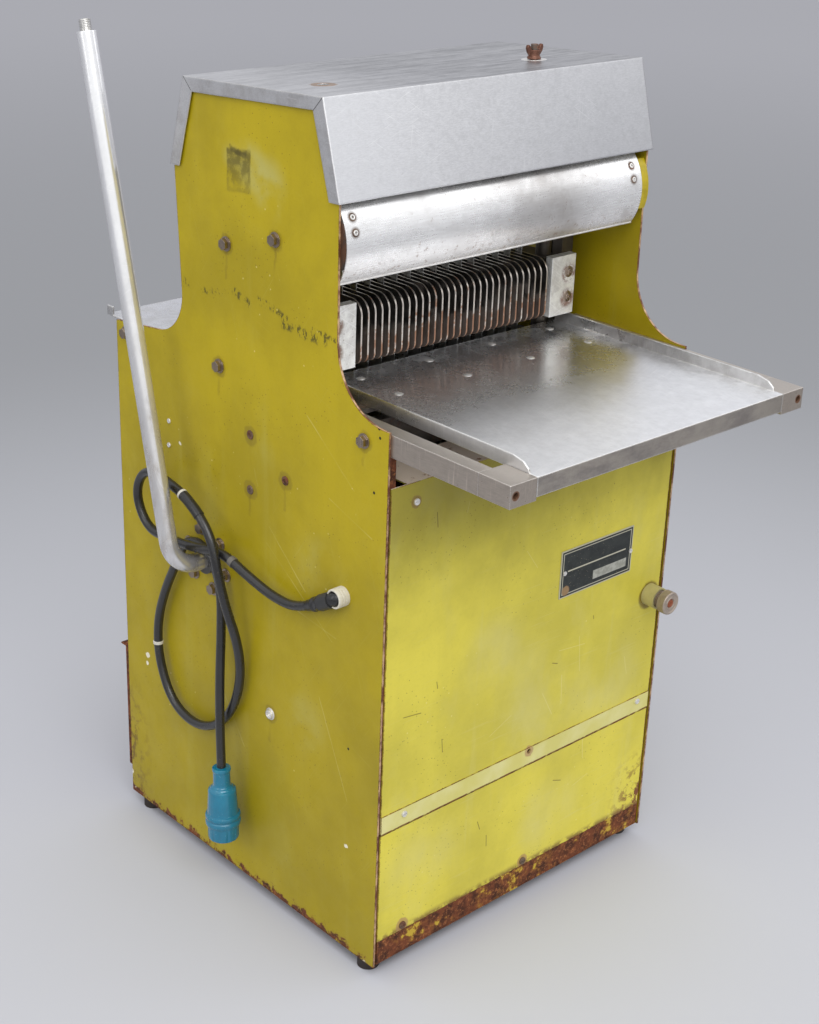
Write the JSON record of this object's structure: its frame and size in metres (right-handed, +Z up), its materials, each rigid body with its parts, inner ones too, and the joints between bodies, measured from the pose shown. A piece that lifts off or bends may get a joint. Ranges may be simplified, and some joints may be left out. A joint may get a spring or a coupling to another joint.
{
  "type": "bread slicer",
  "caption": "Floor-standing frame-saw bread slicer: olive steel case, stainless cover and table, hand feed lever, coiled mains cord with blue plug.",
  "frame": {"origin": "on the floor under the middle of the machine's bounding box, measured without the cord and plug", "axes": "+X to the machine's right as seen from the front, +Y from the front table towards the back, +Z up"},
  "size_m": [0.6179, 0.786, 1.1909],
  "materials": {
    "olive_paint": "satin, worn and chipped",
    "ochre_paint": "satin, worn",
    "stainless": "brushed",
    "polished_steel": "polished by hand",
    "worn_steel": "worn, with rust",
    "frame_steel": "rust brown",
    "blade_steel": "ground",
    "fastener_steel": "dull, with rust",
    "cast_iron": "rough",
    "rubber": "matt",
    "cord_rubber": "matt",
    "blue_plastic": "gloss",
    "pale_plastic": "matt",
    "dark_plastic": "matt",
    "pale_paint": "worn",
    "label_paint": "satin",
    "wing_brass": "tarnished"
  },
  "bodies": {
    "case": {"left_side_panel": "olive_paint", "right_side_panel": "olive_paint", "base_frame": "frame_steel", "rubber_feet": "rubber", "upper_front_panel": "ochre_paint", "lower_front_panel": "ochre_paint", "kick_plate": "frame_steel", "rear_panel": "olive_paint", "rear_access_cover": "frame_steel", "top_cover": "stainless", "cover_bridge": "worn_steel", "wing_nut": "wing_brass", "blade_hood": "stainless", "hood_brackets": "worn_steel", "table_arms": "stainless", "table_corner_blocks": "stainless", "front_tray": "stainless", "tray_bearers": "worn_steel", "tray_rivets": "stainless", "rear_infeed_tray": "stainless", "table_cross_rails": "frame_steel", "carriage_guide_rods": "polished_steel", "shaft_bearings": "cast_iron", "blade_guide_rods": "polished_steel", "guide_rod_brackets": "frame_steel", "crank_bearings": "cast_iron", "drive_belt": "rubber", "motor": "label_paint", "motor_plate": "frame_steel", "blank_nameplate": "label_paint", "switch_collar": "pale_paint", "switch_block": "dark_plastic", "cable_gland": "pale_plastic", "gland_nut": "dark_plastic", "power_cord": "cord_rubber", "mains_plug": "blue_plastic", "hex_bolts": "fastener_steel", "round_head_screws": "fastener_steel"},
    "lever_assembly": {"lever": "polished_steel", "lever_stud": "polished_steel", "lever_shaft": "polished_steel", "drive_arms": "frame_steel"},
    "comb": {"comb_plates": "worn_steel", "comb_end_plates": "stainless", "comb_yoke": "worn_steel", "comb_posts": "worn_steel", "comb_screws": "fastener_steel", "comb_carriage": "cast_iron", "carriage_drive_pins": "polished_steel"},
    "front_saw": {"front_blade_frame": "worn_steel", "front_blades": "blade_steel", "front_connecting_rods": "frame_steel"},
    "rear_saw": {"rear_blade_frame": "worn_steel", "rear_blades": "blade_steel", "rear_connecting_rods": "frame_steel"},
    "crank": {"crankshaft": "polished_steel", "crank_pulley": "cast_iron"},
    "motor_rotor": {"motor_shaft": "polished_steel", "motor_pulley": "cast_iron"},
    "switch_button": {"switch_knob": "polished_steel"}
  },
  "joints": [
    {"name": "lever_swing", "type": "hinge", "parent": "case", "child": "lever_assembly", "pos_m": [-0.26745, 0.161, 0.49], "axis": [-1, 0, 0], "range_deg": [0, 57]},
    {"name": "comb_slide", "type": "slide", "parent": "case", "child": "comb", "axis": [0, 1, 0], "range_m": [0, 0.25]},
    {"name": "front_saw_slide", "type": "slide", "parent": "case", "child": "front_saw", "axis": [0, 0, 1], "range_m": [-0.012, 0.012]},
    {"name": "rear_saw_slide", "type": "slide", "parent": "case", "child": "rear_saw", "axis": [0, 0, 1], "range_m": [-0.012, 0.012]},
    {"name": "crank_turn", "type": "hinge", "parent": "case", "child": "crank", "pos_m": [0.03155, 0.0285, 0.309], "axis": [1, 0, 0], "continuous": true},
    {"name": "motor_turn", "type": "hinge", "parent": "case", "child": "motor_rotor", "pos_m": [-0.03845, 0.231, 0.15], "axis": [1, 0, 0], "continuous": true},
    {"name": "switch_push", "type": "slide", "parent": "case", "child": "switch_button", "axis": [0, 1, 0], "range_m": [0, 0.006], "stiffness_N_per_m": 600, "springref_m": -0.004}
  ],
  "couplings": [
    {"joint": "comb_slide", "follows": "lever_swing", "m_per_rad": 0.251},
    {"joint": "rear_saw_slide", "follows": "front_saw_slide", "ratio": -1},
    {"joint": "motor_turn", "follows": "crank_turn", "ratio": 2.9688}
  ]
}
